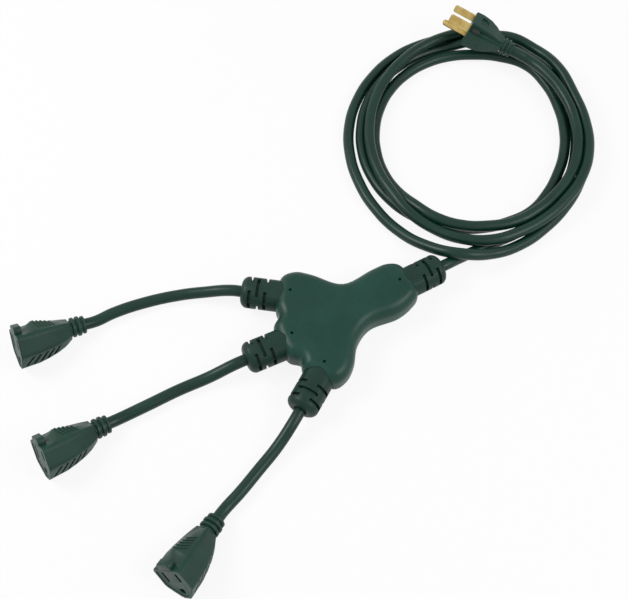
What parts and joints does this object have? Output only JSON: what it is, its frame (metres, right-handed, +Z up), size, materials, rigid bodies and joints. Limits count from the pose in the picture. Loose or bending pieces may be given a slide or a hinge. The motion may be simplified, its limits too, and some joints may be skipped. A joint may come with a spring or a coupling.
{
  "type": "outdoor extension cord",
  "caption": "Grounded extension cord whose coiled main cord with a plug enters a soft moulded splitter that branches into short legs, each ending in a grounded connector.",
  "frame": {"origin": "middle of the splitter's flat base", "axes": "+Z up from the surface it lies on; +X from the legs towards the main cord"},
  "size_m": [0.4237, 0.4562, 0.0444],
  "materials": {
    "moulded_rubber": "satin",
    "cord_jacket": "satin",
    "insulation": "matte",
    "contact_metal": "polished",
    "wire_ground": "satin",
    "wire_line": "satin",
    "wire_neutral": "satin"
  },
  "bodies": {
    "root": {"splitter_body": "moulded_rubber", "relief_main": "moulded_rubber", "relief_leg_1": "moulded_rubber", "relief_leg_2": "moulded_rubber", "relief_leg_3": "moulded_rubber", "splice_block": "insulation", "crimp_ground": "contact_metal", "crimp_line": "contact_metal", "crimp_neutral": "contact_metal", "wire_main_ground": "wire_ground", "wire_main_line": "wire_line", "wire_main_neutral": "wire_neutral", "wire_leg_1_ground": "wire_ground", "wire_leg_1_line": "wire_line", "wire_leg_1_neutral": "wire_neutral", "wire_leg_2_ground": "wire_ground", "wire_leg_2_line": "wire_line", "wire_leg_2_neutral": "wire_neutral", "wire_leg_3_ground": "wire_ground", "wire_leg_3_line": "wire_line", "wire_leg_3_neutral": "wire_neutral", "socket_1_body": "moulded_rubber", "socket_1_carrier": "insulation", "socket_1_contact_ground": "contact_metal", "socket_1_contact_line": "contact_metal", "socket_1_contact_neutral": "contact_metal", "socket_1_wire_ground": "wire_ground", "socket_1_wire_line": "wire_line", "socket_1_wire_neutral": "wire_neutral", "socket_2_body": "moulded_rubber", "socket_2_carrier": "insulation", "socket_2_contact_ground": "contact_metal", "socket_2_contact_line": "contact_metal", "socket_2_contact_neutral": "contact_metal", "socket_2_wire_ground": "wire_ground", "socket_2_wire_line": "wire_line", "socket_2_wire_neutral": "wire_neutral", "socket_3_body": "moulded_rubber", "socket_3_carrier": "insulation", "socket_3_contact_ground": "contact_metal", "socket_3_contact_line": "contact_metal", "socket_3_contact_neutral": "contact_metal", "socket_3_wire_ground": "wire_ground", "socket_3_wire_line": "wire_line", "socket_3_wire_neutral": "wire_neutral", "plug_body": "moulded_rubber", "plug_bridge": "insulation", "plug_blade_line": "contact_metal", "plug_blade_neutral": "contact_metal", "plug_ground_pin": "contact_metal", "plug_wire_ground": "wire_ground", "plug_wire_line": "wire_line", "plug_wire_neutral": "wire_neutral", "cord_leg_1": "cord_jacket", "cord_leg_2": "cord_jacket", "cord_leg_3": "cord_jacket", "cord_main_tail": "cord_jacket", "cord_main_coil": "cord_jacket", "cord_main_lead": "cord_jacket"}
  },
  "joints": []
}
